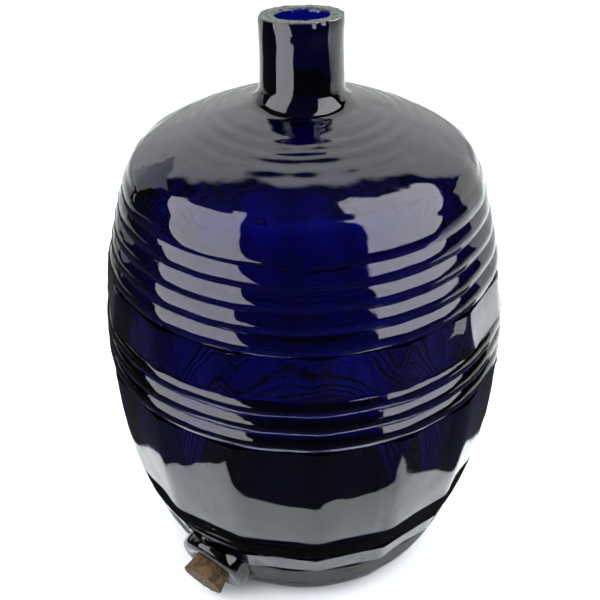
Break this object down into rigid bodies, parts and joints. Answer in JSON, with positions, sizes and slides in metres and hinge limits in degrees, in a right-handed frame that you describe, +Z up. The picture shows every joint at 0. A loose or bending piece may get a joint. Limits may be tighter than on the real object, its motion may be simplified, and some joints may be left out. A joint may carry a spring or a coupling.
{
  "type": "antique glass bottle",
  "caption": "Barrel-shaped cobalt blue glass bottle with moulded hoops and flat staves, a short open neck, and a corked tap hole in a glass ring near the foot.",
  "frame": {"origin": "centre of the foot, on the surface that the bottle stands on", "axes": "+Z up the neck, the tap facing -Y and +X to the right as the tap is faced"},
  "size_m": [0.244, 0.244, 0.35],
  "materials": {
    "barrel_glass": "mould-blown cobalt blue glass, fire-polished, with a sheared lip",
    "ring_glass": "applied dark blue glass, fire-polished",
    "cork": "plain tan cork with dark pores"
  },
  "bodies": {
    "barrel": {"glass_barrel": "barrel_glass", "tap_ring": "ring_glass"},
    "cork": {"cork": "cork"}
  },
  "joints": [
    {"name": "cork_pull", "type": "slide", "parent": "barrel", "child": "cork", "axis": [0, -0.9336, -0.3584], "range_m": [0, 0.018]}
  ]
}
